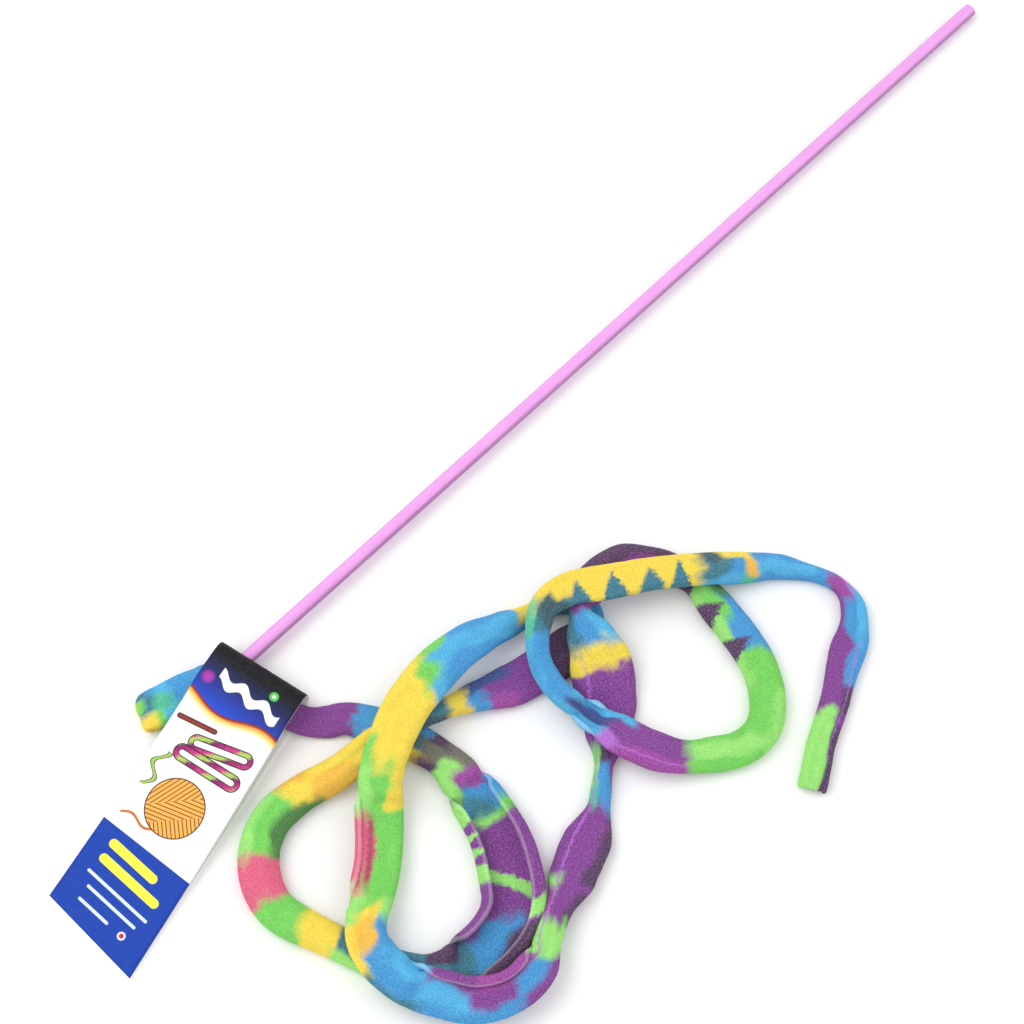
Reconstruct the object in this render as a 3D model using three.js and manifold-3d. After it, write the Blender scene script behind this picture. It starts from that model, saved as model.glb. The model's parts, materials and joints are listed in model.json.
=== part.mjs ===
// A wand toy: a plastic rod, a long fleece ribbon bound across its hidden end, and a folded hang tag.
// Millimetres, +Z up. The rod lies along X with its free end at high X, and everything rests on Z = 0.
import * as THREE from "three";
import { mergeVertices } from "three/addons/utils/BufferGeometryUtils.js";
import Module from "manifold-3d";

// Driving dimensions.
const GAP = 0.3; // between neighbours that touch
const ROD_LENGTH = 457;
const ROD_RADIUS = 2.9;
const ROD_CHAMFER = 0.4;
const ROD_SIDES = 24;
const SLEEVE_LENGTH = 15;
const SLEEVE_WALL = 0.9;
const SLEEVE_FROM_END = 13; // from the rod's hidden end to the middle of the sleeve
const CARD = 0.6; // thickness of the tag's card
const TAPE = 0.6; // thickness of the tape pad under the sleeve
const TAPE_WIDTH = 12;
const TAPE_LENGTH = 13;
const TAPE_X = -3; // the pad's middle, in the tag's frame
const TAPE_Y = -13.5;
const TAG_WIDTH = 41;
const TAG_LEFT = -10.5; // from the rod to the tag's left side, along the fold
const TAG_TURN = -77; // degrees from the rod's direction to the fold's
const FOLD_X = -433; // where the rod enters the fold
const FOLD_BULGE = 1.5; // how far the fold stands out in front of its line
const FOLD_ROUND = 4; // outer radius of the fold's two bends
const HEADER_LENGTH = 25.5;
const HEADER_LEVEL_END = -19; // where the header's level top ends and its slope starts
const HEADER_LIP = -6; // how far the header reaches back under itself
const LEAF_LEFT_LENGTH = 119;
const LEAF_RIGHT_LENGTH = 128.6;
const LEAF_FLARE = 4.3; // how much wider the tag is at its free end
const SLOT_RADIUS = 3.5; // the hole in the fold, round the rod
const RIBBON_WIDTH = 17; // of the loose, half-rolled strip
const RIBBON_DEPTH = 5.5;
const RIBBON_RISE = 6.2; // from one layer of ribbon to the next
const ROOT_WIDTH = 14;
const ROOT_DEPTH = 3;
const TIED_STEPS = 34;
const ROUND_SIDES = 32;
const CUTTER = 120; // side of the block that trims the tied stretch
const CUTTER_HEIGHT = 20; // of the round cutters

const SLEEVE_RADIUS = ROD_RADIUS + GAP + SLEEVE_WALL;
const SLEEVE_X = -ROD_LENGTH + SLEEVE_FROM_END;
const SLEEVE_Z = CARD + GAP + TAPE + GAP + SLEEVE_RADIUS;
const ROD_SLOPE = Math.atan((SLEEVE_Z - ROD_RADIUS) / -SLEEVE_X);
const HEADER_Z = SLEEVE_Z + SLEEVE_RADIUS + GAP + ROOT_DEPTH + GAP; // underside of the header
const CREASE_Z = 9.6; // underside of the card where the header ends
const LEAF_REST_Z = CARD + GAP; // underside of the front leaf's free end
const RIBBON_REST_Z = RIBBON_DEPTH / 2 + GAP;

// The loose ribbon's middle line from the neck to its free end: x, y, and how many layers it lies on.
const RIBBON_ROUTE = [
  [-419, -46, 0], [-412, -59, 0], [-407, -73, 0], [-404, -86, 0], [-405, -101, 0],
  [-409, -118, 0], [-416, -134, 0], [-425, -146, 0], [-438, -151, 0], [-453, -150, 0],
  [-467, -143, 0], [-476, -130, 0], [-482, -114, 0], [-488, -99, 0], [-492, -84, 0],
  [-489, -71, 0], [-481, -61, 0], [-468, -55, 0], [-452, -56, 0], [-438, -60, 0.4],
  [-425, -62, 1], [-414, -63, 1.05], [-403, -66, 1.05], [-392, -70, 0.9], [-378, -75, 0.2],
  [-363, -81, 0], [-348, -85, 0], [-334, -87, 0], [-324, -85, 0], [-319, -78, 0],
  [-324, -70, 0], [-335, -66, 0.1], [-350, -62, 0.6], [-364, -59, 1.3], [-381, -59, 2],
  [-397, -61, 2.1], [-412, -66, 2.1], [-424, -72, 2], [-434, -80, 1.2], [-443, -89, 0.7],
  [-453, -99, 0.75], [-466, -108, 1], [-475, -116, 1.05], [-478, -127, 1.05], [-476, -140, 1.05],
  [-469, -154, 1.05], [-460, -165, 1.05], [-448, -171, 1.05], [-435, -170, 1.05], [-421, -163, 0.9],
  [-405, -156, 0.2], [-389, -149, 0], [-375, -142, 0], [-362, -132, 0], [-351, -123, 0],
  [-341, -113, 0], [-334, -104, 0.6], [-330, -94, 1.05], [-327, -86, 1.05], [-322, -80, 1.05],
  [-312, -79, 1.05], [-301, -81, 0.9], [-290, -86, 0.3], [-282, -92, 0], [-279, -103, 0],
  [-281, -116, 0], [-283, -131, 0], [-287, -146, 0], [-294, -157, 0], [-304, -164, 0],
  [-316, -164, 0], [-327, -158, 0.1], [-337, -150, 0.6], [-344, -139, 1], [-349, -124, 1.05],
  [-352, -110, 1.05], [-353, -96, 1.1], [-350, -84, 1.3], [-342, -75, 1.8], [-333, -70, 2.1],
  [-321, -72, 2.1], [-309, -80, 2.1], [-297, -87, 1.8], [-285, -95, 1.35], [-274, -103, 1.2],
  [-263, -112, 0.5], [-252, -120, 0], [-244, -130, 0], [-239, -141, 0], [-240, -152, 0],
  [-248, -161, 0], [-261, -168, 0], [-275, -176, 0], [-291, -184, 0], [-309, -195, 0],
];
const RIBBON_STEPS = 170;

// The tied stretch of the ribbon, in the tag's frame (x along the fold, y away from the free end): from the
// neck, in under the header, over the sleeve, out at the tag's left side and down to its short end: x, y, z.
const TIED_ROUTE = [
  [48, 3.3, 3], [40, -3.5, 3], [33, -7.5, 3.2], [26, -9.3, 3.8], [18, -10, 7],
  [10, -9.8, 11.1], [3, -9.5, 11.8], [-3, -10.2, 11.8], [-8, -12, 11.55], [-12, -15.5, 10.2],
  [-16, -21, 7.4], [-20, -28, 4.4], [-24.5, -36, 2.2], [-27, -41, 2],
];
const TAIL_CUT = -11.65; // the tail hinges on this line, beside the tag

const colours = {
  rod: new THREE.MeshStandardMaterial({ color: 0xe9a3e6, roughness: 0.3, metalness: 0 }),
  sleeve: new THREE.MeshStandardMaterial({ color: 0xf2f2f0, roughness: 0.4, metalness: 0 }),
  tape: new THREE.MeshStandardMaterial({ color: 0xf4efe0, roughness: 0.8, metalness: 0 }),
  fleece: new THREE.MeshStandardMaterial({ color: 0x8b4fa3, roughness: 0.95, metalness: 0 }),
  header: new THREE.MeshStandardMaterial({ color: 0x1d3f9e, roughness: 0.35, metalness: 0 }),
  leaf: new THREE.MeshStandardMaterial({ color: 0xf6f6f4, roughness: 0.4, metalness: 0 }),
};

const wasm = await Module();
wasm.setup();

// A strip's middle line whose section stays level across, however the line climbs and turns.
class LevelCurve extends THREE.CatmullRomCurve3 {
  computeFrenetFrames(segments) {
    const frames = { tangents: [], normals: [], binormals: [] };
    for (let i = 0; i <= segments; i++) {
      const tangent = this.getTangentAt(i / segments);
      const side = new THREE.Vector3(-tangent.y, tangent.x, 0).normalize();
      frames.tangents.push(tangent);
      frames.normals.push(side);
      frames.binormals.push(new THREE.Vector3().crossVectors(tangent, side));
    }
    return frames;
  }
}

function strip(points, width, depth, steps) {
  const w = width / 2;
  const d = depth / 2;
  const c = d * 0.6;
  const section = new THREE.Shape([
    new THREE.Vector2(-w, c - d),
    new THREE.Vector2(c - w, -d),
    new THREE.Vector2(w - c, -d),
    new THREE.Vector2(w, c - d),
    new THREE.Vector2(w, d - c),
    new THREE.Vector2(w - c, d),
    new THREE.Vector2(c - w, d),
    new THREE.Vector2(-w, d - c),
  ]);
  const line = new LevelCurve(points.map((p) => new THREE.Vector3(...p)), false, "centripetal");
  return new THREE.ExtrudeGeometry(section, { steps, bevelEnabled: false, extrudePath: line });
}

function solidOf(geometry) {
  const bare = geometry.index ? geometry.toNonIndexed() : geometry.clone();
  bare.deleteAttribute("normal");
  bare.deleteAttribute("uv");
  const merged = mergeVertices(bare, 1e-3);
  return new wasm.Manifold(
    new wasm.Mesh({
      numProp: 3,
      vertProperties: merged.attributes.position.array,
      triVerts: new Uint32Array(merged.index.array),
    }),
  );
}

function geometryOf(solid) {
  const mesh = solid.getMesh();
  const geometry = new THREE.BufferGeometry();
  geometry.setAttribute("position", new THREE.BufferAttribute(mesh.vertProperties, 3));
  geometry.setIndex(new THREE.BufferAttribute(mesh.triVerts, 1));
  geometry.computeVertexNormals();
  return geometry;
}

function named(name, geometry, material) {
  const mesh = new THREE.Mesh(geometry, material);
  mesh.name = name;
  return mesh;
}

function upright(radius, height, x, y, z) {
  return new THREE.CylinderGeometry(radius, radius, height, ROUND_SIDES)
    .rotateX(Math.PI / 2)
    .translate(x, y, z);
}

// The rod and its sleeve are turned about their own line, which starts on the sleeve's middle.
function rodGeometry() {
  const r = ROD_RADIUS;
  const c = ROD_CHAMFER;
  const profile = [
    new THREE.Vector2(0, 0),
    new THREE.Vector2(r - c, 0),
    new THREE.Vector2(r, c),
    new THREE.Vector2(r, ROD_LENGTH - c),
    new THREE.Vector2(r - c, ROD_LENGTH),
    new THREE.Vector2(0, ROD_LENGTH),
  ];
  return new THREE.LatheGeometry(profile, ROD_SIDES)
    .rotateZ(-Math.PI / 2)
    .translate(-SLEEVE_FROM_END, 0, 0);
}

function sleeveGeometry() {
  const inner = ROD_RADIUS + GAP;
  const half = SLEEVE_LENGTH / 2;
  const profile = [
    new THREE.Vector2(inner, -half),
    new THREE.Vector2(SLEEVE_RADIUS, -half),
    new THREE.Vector2(SLEEVE_RADIUS, half),
    new THREE.Vector2(inner, half),
    new THREE.Vector2(inner, -half),
  ];
  return new THREE.LatheGeometry(profile, ROD_SIDES).rotateZ(-Math.PI / 2);
}

// The tag's card seen from its left side: x is the tag's y, y is its z.
function headerGeometry() {
  const right = FOLD_BULGE;
  const top = HEADER_Z + CARD;
  const round = FOLD_ROUND;
  const outline = new THREE.Shape();
  outline.moveTo(HEADER_LIP, 0);
  outline.lineTo(right - round, 0);
  outline.absarc(right - round, round, round, -Math.PI / 2, 0, false);
  outline.lineTo(right, top - round);
  outline.absarc(right - round, top - round, round, 0, Math.PI / 2, false);
  outline.lineTo(HEADER_LEVEL_END, top);
  outline.lineTo(-HEADER_LENGTH, CREASE_Z + CARD);
  outline.lineTo(-HEADER_LENGTH, CREASE_Z);
  outline.lineTo(HEADER_LEVEL_END, HEADER_Z);
  outline.lineTo(right - round, HEADER_Z);
  outline.absarc(right - round, top - round, round - CARD, Math.PI / 2, 0, true);
  outline.lineTo(right - CARD, round);
  outline.absarc(right - round, round, round - CARD, 0, -Math.PI / 2, true);
  outline.lineTo(HEADER_LIP, CARD);
  return new THREE.ExtrudeGeometry(outline, { depth: TAG_WIDTH, bevelEnabled: false, curveSegments: 6 })
    .rotateX(Math.PI / 2)
    .rotateZ(Math.PI / 2)
    .translate(TAG_LEFT, 0, 0);
}

// One long leaf of the tag, from y = start to its slanted free end.
function leafOutline(start) {
  return new THREE.Shape([
    new THREE.Vector2(TAG_LEFT, start),
    new THREE.Vector2(TAG_LEFT, -LEAF_LEFT_LENGTH),
    new THREE.Vector2(TAG_LEFT + TAG_WIDTH + LEAF_FLARE, -LEAF_RIGHT_LENGTH),
    new THREE.Vector2(TAG_LEFT + TAG_WIDTH, start),
  ]);
}

function leafGeometry(start) {
  return new THREE.ExtrudeGeometry(leafOutline(start), { depth: CARD, bevelEnabled: false });
}

const wand = new THREE.Group();

const rodLine = new THREE.Group();
rodLine.position.set(SLEEVE_X, 0, SLEEVE_Z);
rodLine.rotation.y = ROD_SLOPE;
rodLine.add(named("wand_rod", rodGeometry(), colours.rod));
rodLine.add(named("binding_sleeve", sleeveGeometry(), colours.sleeve));
wand.add(rodLine);

const tag = new THREE.Group();
tag.position.set(FOLD_X, 0, 0);
tag.rotation.z = THREE.MathUtils.degToRad(TAG_TURN);
wand.add(tag);
wand.updateMatrixWorld(true);

// The fold is pierced where the rod goes through it.
const pierce = new THREE.CylinderGeometry(SLOT_RADIUS, SLOT_RADIUS, CUTTER_HEIGHT, ROD_SIDES)
  .rotateZ(Math.PI / 2)
  .translate(FOLD_X - SLEEVE_X, 0, 0)
  .applyMatrix4(rodLine.matrixWorld)
  .applyMatrix4(tag.matrixWorld.clone().invert());
const header = solidOf(headerGeometry()).subtract(solidOf(pierce));
tag.add(named("tag_header", geometryOf(header), colours.header));

tag.add(named("tag_back_leaf", leafGeometry(HEADER_LIP - GAP), colours.leaf));

const frontStart = -HEADER_LENGTH - GAP;
const front = named("tag_front_leaf", leafGeometry(frontStart).translate(0, -frontStart, 0), colours.leaf);
front.position.set(0, frontStart, CREASE_Z);
front.rotation.x = Math.atan((CREASE_Z - LEAF_REST_Z) / (LEAF_RIGHT_LENGTH - HEADER_LENGTH));
tag.add(front);

const tape = new THREE.BoxGeometry(TAPE_WIDTH, TAPE_LENGTH, TAPE)
  .translate(TAPE_X, TAPE_Y, CARD + GAP + TAPE / 2);
tag.add(named("tape_pad", tape, colours.tape));

// The ribbon's root is hollowed round the neck, and the loose ribbon starts with a round end there.
const neck = RIBBON_ROUTE[0];
const neckInTag = new THREE.Vector3(neck[0], neck[1], 0).applyMatrix4(tag.matrixWorld.clone().invert());
const hollowRadius = RIBBON_WIDTH / 2 + 2 * GAP;
const rootHollow = upright(hollowRadius, CUTTER_HEIGHT, neckInTag.x, neckInTag.y, RIBBON_REST_Z);
const tied = solidOf(strip(TIED_ROUTE, ROOT_WIDTH, ROOT_DEPTH, TIED_STEPS));
const cutter = new THREE.BoxGeometry(CUTTER, CUTTER, CUTTER);
const outside = solidOf(cutter.clone().translate(TAIL_CUT + (GAP - CUTTER) / 2, 0, 0));
const inside = solidOf(cutter.clone().translate(TAIL_CUT + (CUTTER - GAP) / 2, 0, 0));
const root = tied.subtract(solidOf(rootHollow)).subtract(outside);
const tail = tied.subtract(inside);
tag.add(named("ribbon_root", geometryOf(root), colours.fleece));
tag.add(named("ribbon_short_tail", geometryOf(tail), colours.fleece));

const loosePoints = RIBBON_ROUTE.map(([x, y, layer]) => [x, y, RIBBON_REST_Z + layer * RIBBON_RISE]);
const loose = solidOf(strip(loosePoints, RIBBON_WIDTH, RIBBON_DEPTH, RIBBON_STEPS)).add(
  solidOf(upright(RIBBON_WIDTH / 2, RIBBON_DEPTH, neck[0], neck[1], RIBBON_REST_Z)),
);
wand.add(named("ribbon_long", geometryOf(loose), colours.fleece));

// The part's origin is the middle of its box, on the surface it lies on.
wand.updateMatrixWorld(true);
const box = new THREE.Box3().setFromObject(wand, true);
const middle = box.getCenter(new THREE.Vector3());
wand.position.set(-middle.x, -middle.y, -box.min.z);

const part = new THREE.Group();
part.add(wand);

export default part;
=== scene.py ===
import json
import math

import bmesh
import bpy
from bpy.props import FloatProperty, FloatVectorProperty, PointerProperty
from mathutils import Matrix, Vector, noise


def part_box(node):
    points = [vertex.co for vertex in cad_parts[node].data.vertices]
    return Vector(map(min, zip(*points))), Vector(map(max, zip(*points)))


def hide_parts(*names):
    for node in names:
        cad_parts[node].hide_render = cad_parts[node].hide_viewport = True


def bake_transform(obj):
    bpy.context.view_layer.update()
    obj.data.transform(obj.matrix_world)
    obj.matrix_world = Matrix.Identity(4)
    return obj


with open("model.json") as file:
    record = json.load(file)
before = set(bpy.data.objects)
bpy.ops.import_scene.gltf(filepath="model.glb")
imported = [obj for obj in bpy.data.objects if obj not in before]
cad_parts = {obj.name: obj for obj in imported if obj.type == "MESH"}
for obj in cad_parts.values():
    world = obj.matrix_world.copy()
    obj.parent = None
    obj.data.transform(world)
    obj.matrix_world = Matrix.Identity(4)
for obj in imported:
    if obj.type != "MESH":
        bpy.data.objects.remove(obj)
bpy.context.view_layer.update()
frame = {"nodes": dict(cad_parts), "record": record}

bl_info = {
    "name": "Ribbon wand toy",
    "version": (1, 0, 0),
    "blender": (4, 5, 0),
    "location": "View3D > Sidebar > Ribbon Wand",
    "description": "Builds the rod, the tie-dyed fleece ribbon and the folded hang tag",
    "category": "Object",
}

MM = 0.001

# The rod's free end is where the ribbon's and the tag's millimetres are counted from.
ROD_LOW, ROD_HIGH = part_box("wand_rod")
GRIP = next(m for m in frame["record"]["mounts"] if m["name"] == "grip_end")
DATUM = Vector((GRIP["pos_m"][0], GRIP["pos_m"][1], 0.0))
SLEEVE_LOW, SLEEVE_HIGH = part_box("binding_sleeve")

# Lengths are in millimetres unless a name or a comment says otherwise.
FOLD_X = -433.0  # where the rod enters the fold
TAG_TURN = math.radians(-77.0)
TAG_LEFT = -10.5
TAG_WIDTH = 41.0
TAG_FLARE = 4.3  # how much wider the leaf is at its free end
LEAF_LEFT_LENGTH = 119.0
LEAF_RIGHT_LENGTH = 128.6
CREASE_Y = -25.65

LAYER = 6.2  # from one layer of ribbon to the next
FLEECE = 2.3  # thickness of the cloth
STRIP = 32.0  # width the strip was cut to
FLOOR_GAP = 0.15  # between the lowest cloth and the floor
RIBBON_STEPS, RIBBON_CELLS = 520, 22  # faces along the strip and across it
RIBBON_HIDDEN = 50.0  # how much of the ribbon lies under the header
TAIL_STEPS, TAIL_CELLS = 60, 20
TAIL_HIDDEN = 6.0
FREE_OVER = 20.0  # how far past its hidden stretch a strip takes on its creases

# The ribbon's middle line: x, y, and how many layers it lies on. It starts on the rod, under the header.
RIBBON_ROUTE = [
    (-442, -5, 1.66), (-440, -12, 1.6), (-439, -20, 1.0), (-436, -27, 0.45), (-432, -35, 0.1),
    (-426, -41, 0), (-419, -46, 0), (-412, -59, 0), (-407, -73, 0), (-404, -86, 0),
    (-405, -101, 0), (-409, -118, 0), (-416, -134, 0), (-425, -146, 0), (-438, -151, 0),
    (-453, -150, 0), (-467, -143, 0), (-476, -130, 0), (-482, -114, 0), (-488, -99, 0),
    (-492, -84, 0), (-489, -71, 0), (-481, -61, 0), (-468, -55, 0), (-452, -56, 0),
    (-438, -60, 0.4), (-425, -62, 1), (-414, -63, 1.05), (-403, -66, 1.05), (-392, -70, 0.9),
    (-378, -75, 0.2), (-363, -81, 0), (-348, -85, 0), (-334, -87, 0), (-324, -85, 0),
    (-319, -78, 0), (-324, -70, 0), (-335, -66, 0.1), (-350, -62, 0.6), (-364, -59, 1.3),
    (-381, -59, 2), (-397, -61, 2.1), (-412, -66, 2.1), (-424, -72, 2), (-434, -80, 1.2),
    (-443, -89, 0.7), (-453, -99, 0.75), (-466, -108, 1), (-475, -116, 1.05), (-478, -127, 1.05),
    (-476, -140, 1.05), (-469, -154, 1.05), (-460, -165, 1.05), (-448, -171, 1.05), (-435, -170, 1.05),
    (-421, -163, 0.9), (-405, -156, 0.2), (-389, -149, 0), (-375, -142, 0), (-362, -132, 0),
    (-351, -123, 0), (-341, -113, 0), (-334, -104, 0.6), (-330, -94, 1.05), (-327, -86, 1.05),
    (-321, -77.5, 1.05), (-310, -75.5, 1.05), (-298, -78, 0.9), (-288, -84, 0.3), (-282, -92, 0),
    (-279, -103, 0), (-281, -116, 0), (-283, -131, 0), (-287, -146, 0), (-294, -157, 0),
    (-304, -164, 0), (-316, -164, 0), (-327, -158, 0.1), (-337, -150, 0.6), (-344, -139, 1),
    (-349, -124, 1.05), (-352, -110, 1.05), (-353, -96, 1.1), (-350, -84, 1.3), (-342, -75, 1.8),
    (-333, -70, 2.1), (-321, -72, 2.1), (-309, -80, 2.1), (-297, -87, 1.8), (-285, -95, 1.35),
    (-274, -103, 1.2), (-263, -112, 0.5), (-252, -120, 0), (-244, -130, 0), (-239, -141, 0),
    (-240, -152, 0), (-248, -161, 0), (-261, -168, 0), (-275, -176, 0), (-291, -184, 0),
    (-309, -195, 0),
]

# How the strip's section is bent: degrees over its whole width, over its left edge and over its right
# edge, positive with the edge turned down, then its height in millimetres.
FORMS = {
    "pressed": (5, 178, 178, 0.7),
    "level": (20, 40, 40, 1.6),
    "lapped": (15, 172, 172, 2.6),
    "flat": (25, 80, 90, 3.0),
    "tucked": (25, 170, 165, 4.6),
    "snug": (40, 150, 150, 3.2),
    "folded": (30, 172, 165, 3.4),
    "arched": (110, 110, 110, 6.4),
    "tube": (200, 95, 95, 6.6),
    "thin": (200, 100, 100, 4.4),
    "trough": (-70, -115, -115, 7.5),
    "flap": (30, 150, -130, 5.2),
    "hem": (45, -200, 130, 6.4),
    "groove": (-90, -70, -60, 4.4),
}

# Where along the ribbon each form is reached, in millimetres from its start, how wide it lies there and
# how far it is rolled.
RIBBON_SHAPE = [
    (0, "pressed", 11, 0), (20, "pressed", 12, 0), (34, "pressed", 13, 0), (48, "level", 15, 0),
    (66, "flat", 16, -3), (80, "tucked", 16, 0), (92, "folded", 15, 0), (102, "flat", 18, 0),
    (114, "trough", 22, 6), (150, "trough", 26, 8), (185, "trough", 25, 10), (204, "tucked", 17, 0),
    (226, "tucked", 15, 0), (246, "tube", 14, 0), (264, "arched", 16, 0), (286, "arched", 17, 0),
    (310, "arched", 16.5, 0), (330, "tube", 15, 0), (352, "snug", 14, 0), (380, "folded", 10, 0),
    (393, "thin", 9, 12), (404, "folded", 13, 5), (420, "flat", 18, 0), (450, "flat", 19, 0),
    (460, "folded", 14, 0), (480, "folded", 11, 0), (494, "thin", 9, 0), (508, "tube", 13, 0),
    (524, "arched", 17, 0), (545, "arched", 19.5, -5), (562, "tucked", 19, -4), (588, "tucked", 18, 0),
    (602, "flap", 20, -6), (634, "flap", 19, -8), (648, "tucked", 16.5, 0), (668, "arched", 17.5, 4),
    (690, "hem", 19, 6), (732, "hem", 17, 4), (746, "snug", 11, 0), (758, "folded", 11, -4),
    (772, "flat", 19, -6), (788, "flat", 20, -6), (806, "thin", 9, 10), (820, "thin", 7.5, 0),
    (834, "flat", 18, 0), (846, "flat", 25, 0), (864, "flat", 26, 0), (874, "snug", 20, -18),
    (886, "thin", 9, -20), (896, "flat", 16, 10), (914, "flat", 19, 6), (928, "snug", 15, 0),
    (945, "snug", 12, 0), (962, "arched", 15.5, 0), (1010, "tube", 15, 0), (1036, "arched", 15, 0),
    (1052, "snug", 14, 0), (1066, "flat", 16.5, 4), (1080, "snug", 17, 0), (1094, "groove", 13.5, 0),
    (1106, "tube", 10, 0), (1132, "tube", 9.5, 8), (1144, "snug", 12, 16), (1156, "snug", 14, 14),
    (1172, "snug", 15, 4), (1200, "arched", 14, 0), (1228, "tube", 14, 0), (1246, "tube", 11, 0),
    (1262, "thin", 7, 0), (1274, "thin", 7, 14), (1286, "folded", 11, 10), (1302, "flat", 15, 0),
    (1322, "folded", 12.5, -5), (1340, "folded", 12, -3), (1364, "flat", 12, 0),
]

# The dyes, as sRGB colours, with red used only for the painted shade in the flap's crease.
DYES = {
    "purple": (0.50, 0.11, 0.57),
    "dark purple": (0.27, 0.05, 0.31),
    "magenta": (0.62, 0.17, 0.62),
    "lilac": (0.72, 0.40, 0.85),
    "blue": (0.10, 0.60, 0.86),
    "light blue": (0.22, 0.71, 0.92),
    "deep blue": (0.07, 0.24, 0.55),
    "teal": (0.05, 0.47, 0.55),
    "dark teal": (0.03, 0.32, 0.36),
    "mint": (0.25, 0.78, 0.60),
    "yellow": (1.0, 0.88, 0.16),
    "orange": (0.99, 0.76, 0.10),
    "green": (0.43, 0.85, 0.27),
    "light green": (0.60, 0.93, 0.42),
    "dark green": (0.22, 0.52, 0.14),
    "olive": (0.42, 0.42, 0.34),
    "pink": (0.92, 0.34, 0.50),
    "red": (0.72, 0.18, 0.34),
}

# The dyed bands: where each starts, in millimetres from the ribbon's start, and its colour along the
# strip's left edge, middle and right edge.
BANDS = [
    (0, "purple", "purple", "purple"),
    (54, "blue", "blue", "blue"),
    (61, "blue", "light blue", "yellow"),
    (67, "light blue", "yellow", "yellow"),
    (78, "blue", "teal", "yellow"),
    (84, "dark purple", "olive", "dark purple"),
    (93, "olive", "light green", "light green"),
    (101, "magenta", "magenta", "light green"),
    (108, "blue", "blue", "dark green"),
    (115, "blue", "teal", "teal"),
    (120, "green", "light green", "light green"),
    (124, "purple", "purple", "purple"),
    (150, "purple", "purple", "purple"),
    (164, "dark purple", "blue", "purple"),
    (186, "dark purple", "teal", "dark purple"),
    (206, "light green", "teal", "teal"),
    (243, "yellow", "yellow", "yellow"),
    (257, "green", "green", "green"),
    (273, "pink", "pink", "pink"),
    (292, "light green", "green", "dark green"),
    (319, "orange", "yellow", "dark green"),
    (331, "yellow", "orange", "orange"),
    (349, "yellow", "yellow", "teal"),
    (376, "dark teal", "teal", "dark teal"),
    (391, "yellow", "yellow", "yellow"),
    (401, "deep blue", "blue", "blue"),
    (408, "deep blue", "purple", "magenta"),
    (424, "purple", "purple", "purple"),
    (437, "dark purple", "dark purple", "dark purple"),
    (462, "teal", "blue", "blue"),
    (488, "deep blue", "yellow", "yellow"),
    (500, "blue", "light blue", "blue"),
    (531, "blue", "light blue", "green"),
    (542, "light blue", "green", "yellow"),
    (552, "yellow", "yellow", "yellow"),
    (576, "yellow", "yellow", "green"),
    (585, "yellow", "green", "light green"),
    (603, "green", "green", "pink"),
    (636, "light green", "green", "light green"),
    (643, "light green", "yellow", "light green"),
    (649, "blue", "orange", "yellow"),
    (661, "blue", "blue", "yellow"),
    (667, "light blue", "blue", "teal"),
    (684, "purple", "light blue", "blue"),
    (705, "magenta", "purple", "blue"),
    (722, "magenta", "blue", "purple"),
    (738, "light green", "light green", "light green"),
    (751, "magenta", "purple", "dark purple"),
    (765, "light green", "purple", "purple"),
    (770, "purple", "purple", "dark purple"),
    (803, "mint", "blue", "blue"),
    (813, "light green", "blue", "purple"),
    (822, "green", "dark purple", "purple"),
    (829, "purple", "purple", "purple"),
    (860, "yellow", "yellow", "yellow"),
    (870, "teal", "blue", "light blue"),
    (886, "dark purple", "purple", "purple"),
    (936, "dark green", "light green", "light green"),
    (957, "blue", "green", "light green"),
    (967, "blue", "blue", "light green"),
    (984, "green", "green", "light green"),
    (1000, "light green", "green", "green"),
    (1020, "green", "light green", "green"),
    (1052, "magenta", "purple", "purple"),
    (1078, "lilac", "purple", "light blue"),
    (1086, "light blue", "deep blue", "light blue"),
    (1105, "light blue", "blue", "blue"),
    (1136, "mint", "teal", "dark teal"),
    (1144, "yellow", "dark teal", "dark teal"),
    (1153, "yellow", "yellow", "teal"),
    (1162, "yellow", "yellow", "yellow"),
    (1212, "dark teal", "teal", "light blue"),
    (1220, "yellow", "blue", "light blue"),
    (1229, "yellow", "orange", "mint"),
    (1237, "blue", "light blue", "blue"),
    (1262, "blue", "blue", "blue"),
    (1271, "lilac", "magenta", "purple"),
    (1279, "light blue", "blue", "purple"),
    (1298, "blue", "purple", "purple"),
    (1317, "dark purple", "purple", "purple"),
    (1328, "purple", "light green", "purple"),
    (1334, "dark purple", "light green", "light green"),
]


def hue(red, green, blue):
    """An sRGB colour, as the linear one that a shader takes."""
    made = [c / 12.92 if c <= 0.04045 else ((c + 0.055) / 1.055) ** 2.4 for c in (red, green, blue)]
    return (*made, 1.0)


WHITE = (1.0, 1.0, 1.0, 1.0)


# ------------------------ shader maths


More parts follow.
